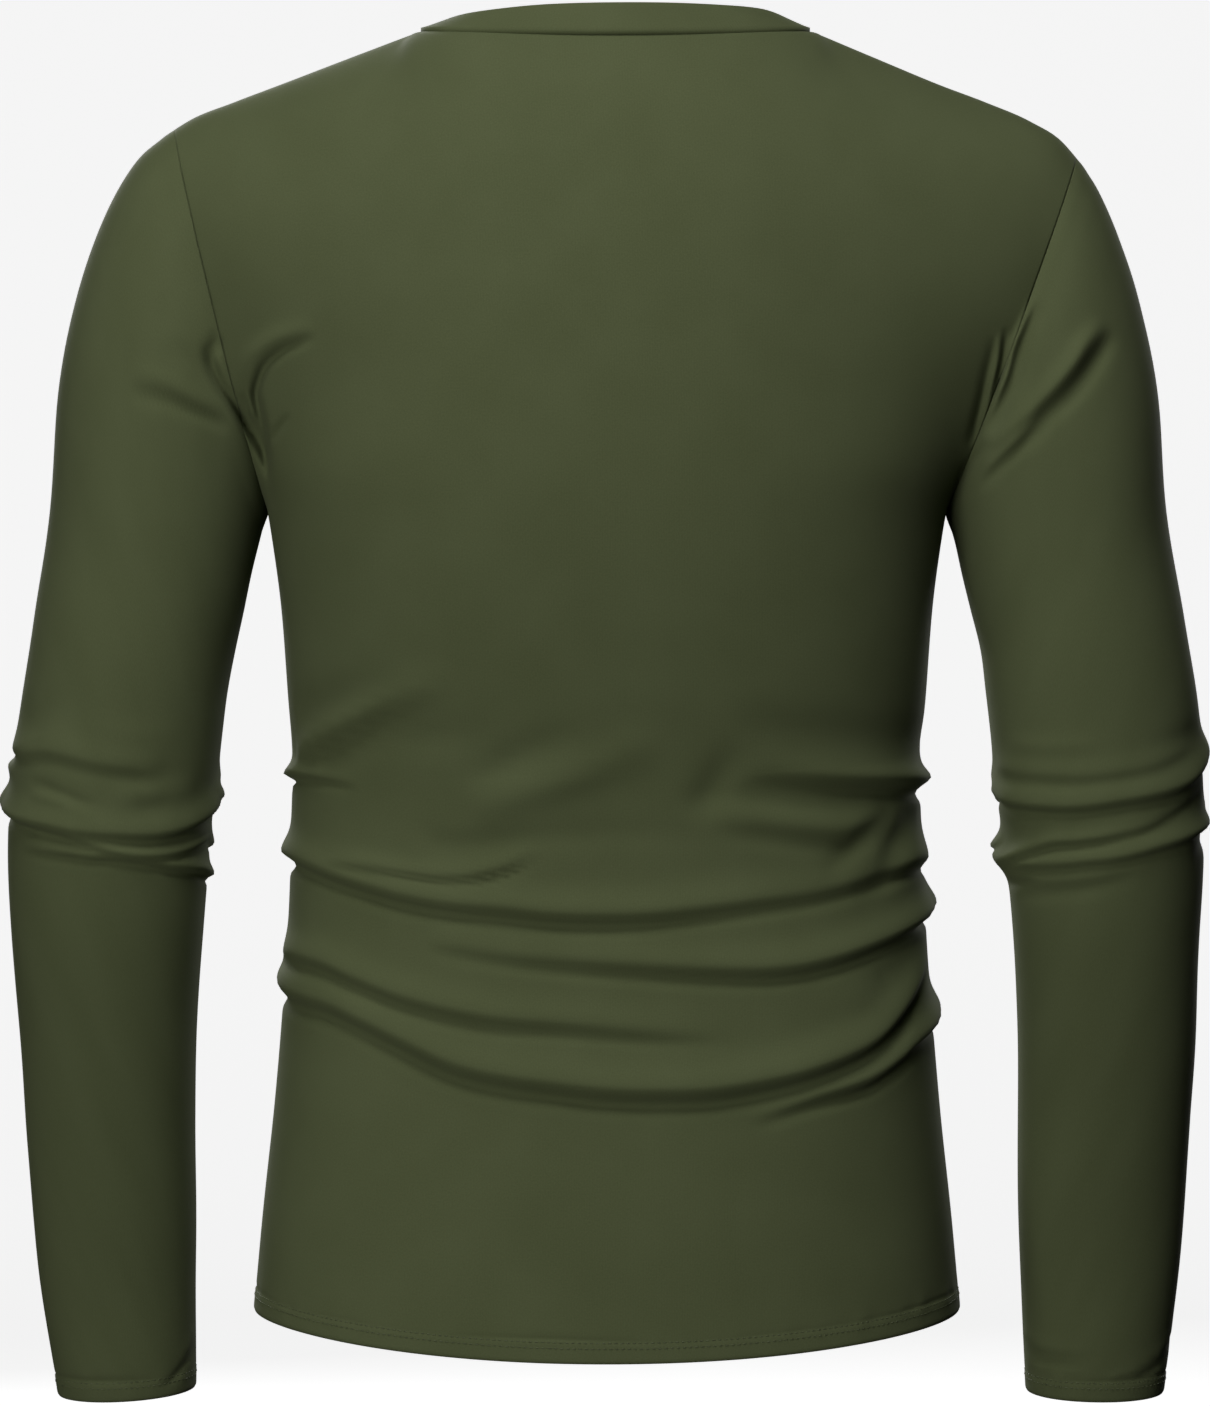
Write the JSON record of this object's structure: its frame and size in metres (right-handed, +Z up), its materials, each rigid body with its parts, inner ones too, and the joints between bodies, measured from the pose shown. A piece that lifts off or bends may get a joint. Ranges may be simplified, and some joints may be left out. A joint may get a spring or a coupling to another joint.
{
  "type": "long-sleeve T-shirt with a round neckband",
  "caption": "Slim long-sleeve knit T-shirt in dark olive with a narrow round neckband, filled out as worn, open at neck, hem and cuffs.",
  "frame": {"origin": "middle of the neck opening, level within 2 mm with the neck points where the shoulder seams meet the neckband", "axes": "+Z up along the body, +X towards the wearer's left arm, +Y towards the wearer's back"},
  "size_m": [0.6132, 0.2391, 0.7143],
  "materials": {
    "jersey": "dark olive cotton jersey, matt with a faint soft sheen",
    "neckband_rib": "dark olive fine rib, matt"
  },
  "bodies": {
    "root": {"back": "jersey", "front": "jersey", "sleeve_left": "jersey", "sleeve_right": "jersey", "neckband": "neckband_rib"}
  },
  "joints": []
}
